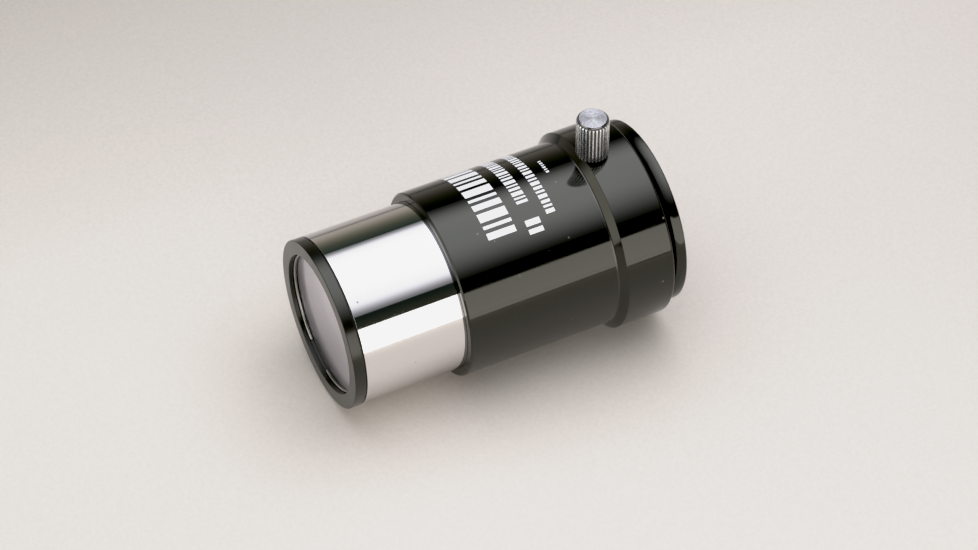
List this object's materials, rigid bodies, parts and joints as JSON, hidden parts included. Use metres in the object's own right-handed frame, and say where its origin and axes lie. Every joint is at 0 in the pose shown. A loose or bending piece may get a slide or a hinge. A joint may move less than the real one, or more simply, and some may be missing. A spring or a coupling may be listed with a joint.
{
  "type": "barlow lens",
  "caption": "Short barlow lens for telescope eyepieces: chromed nose barrel with a coated negative doublet, black body, eyepiece socket with rounded lip and side thumbscrew.",
  "frame": {"origin": "on the optical axis, in the plane of the shoulder where the chromed barrel meets the black body", "axes": "+X along the optical axis from the nose towards the eyepiece socket, +Z from the axis towards the thumbscrew, +Y completes the right-handed frame"},
  "size_m": [0.0652, 0.0376, 0.0466],
  "materials": {
    "gloss_black_anodised": "gloss black anodised, fine turned",
    "satin_black_anodised": "satin black anodised, turned",
    "chrome_plate": "polished chrome plate",
    "grey_ring": "grey spring steel wire",
    "matt_black": "matt black, anti-glare",
    "coated_glass": "polished, multi-coated",
    "bright_nickel": "bright nickel plated, turned and knurled"
  },
  "bodies": {
    "root": {"nose_barrel": "chrome_plate", "barrel_baffle": "matt_black", "body_tube": "gloss_black_anodised", "body_baffle": "matt_black", "thumbscrew_collar": "gloss_black_anodised"},
    "lens_pair": {"front_lens": "coated_glass", "rear_lens": "coated_glass"},
    "cell": {"lens_cell": "satin_black_anodised", "lens_retaining_ring": "grey_ring"},
    "thumbscrew_shank": {"thumbscrew_stud": "bright_nickel"},
    "thumbscrew_head": {"thumbscrew_knob": "bright_nickel"}
  },
  "joints": [
    {"name": "thumbscrew_travel", "type": "slide", "parent": "root", "child": "thumbscrew_shank", "axis": [0, 0, 1], "range_m": [-0.00015, 0.0014]},
    {"name": "thumbscrew_turn", "type": "hinge", "parent": "thumbscrew_shank", "child": "thumbscrew_head", "pos_m": [0.0326, 0, 0.02], "axis": [0, 0, 1], "range_deg": [-78, 721]},
    {"name": "cell_travel", "type": "slide", "parent": "root", "child": "lens_pair", "axis": [-1, 0, 0], "range_m": [0, 0.0048]},
    {"name": "cell_turn", "type": "hinge", "parent": "lens_pair", "child": "cell", "pos_m": [-0.0195, 0, 0], "axis": [-1, 0, 0], "range_deg": [0, 2881]}
  ],
  "couplings": [
    {"joint": "thumbscrew_turn", "follows": "thumbscrew_travel", "rad_per_m": 8976},
    {"joint": "cell_turn", "follows": "cell_travel", "rad_per_m": 10472}
  ]
}
